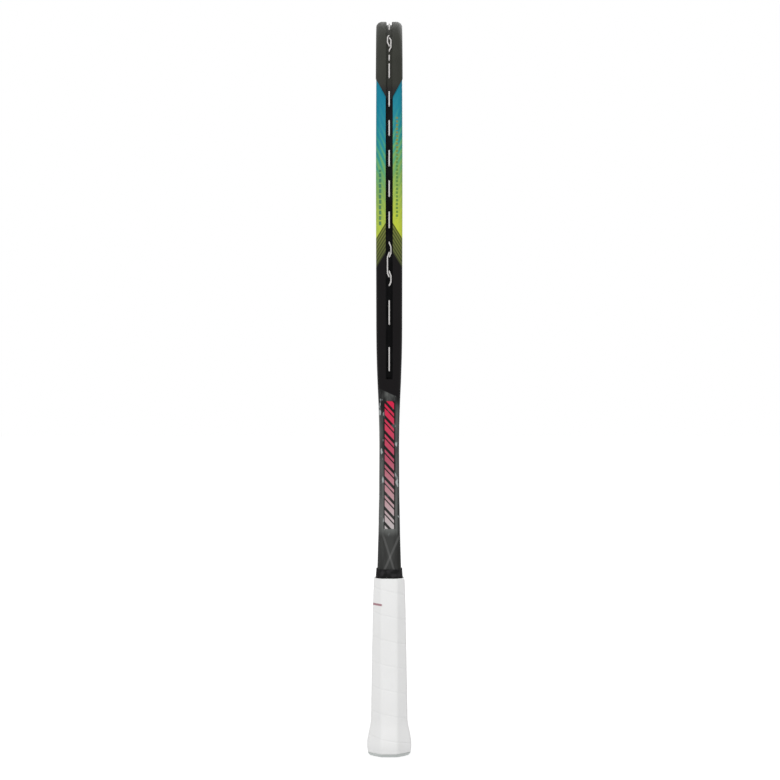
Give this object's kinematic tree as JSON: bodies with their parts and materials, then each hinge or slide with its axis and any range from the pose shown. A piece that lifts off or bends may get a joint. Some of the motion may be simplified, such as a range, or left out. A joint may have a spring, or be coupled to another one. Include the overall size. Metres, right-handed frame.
{
  "type": "squash racket",
  "caption": "Strung squash racket with a teardrop tubular head joined to a slim shaft, a cushioned octagonal grip and a rubber collar that slides up the shaft.",
  "frame": {"origin": "middle of the butt's flat end face, on the racket's axis", "axes": "+Z along the racket from butt to tip, X across the strings in their plane, +Y square to the strings"},
  "size_m": [0.206, 0.0428, 0.685],
  "materials": {
    "frame": "satin paint over carbon fibre, fading from teal to yellow-green",
    "wedge": "matte moulded insert",
    "strip": "matte black nylon",
    "bumper": "matte dark grey nylon",
    "string": "off-white nylon string",
    "foam": "rigid foam",
    "cap": "pale moulded plastic",
    "tack": "plain steel",
    "badge": "plain grey-green badge",
    "grip": "white cushioned polyurethane wrap",
    "tape": "black vinyl tape",
    "collar": "black rubber"
  },
  "bodies": {
    "racket": {"frame_shell": "frame", "throat_wedge": "wedge", "throat_liner": "strip", "tube_end_plugs": "foam", "handle_pallet_front": "foam", "handle_pallet_back": "foam", "butt_cap": "cap", "butt_cap_tacks": "tack", "butt_badge": "badge", "cushion_grip": "grip", "finishing_tape": "tape", "bumper_guard": "bumper", "side_strip_left": "strip", "side_strip_right": "strip", "throat_strip_left": "strip", "throat_strip_right": "strip", "main_string": "string", "cross_string": "string", "string_knots": "string"},
    "collar": {"grip_collar": "collar"}
  },
  "joints": [
    {"name": "collar_slide", "type": "slide", "parent": "racket", "child": "collar", "axis": [0, 0, 1], "range_m": [0, 0.05]}
  ]
}
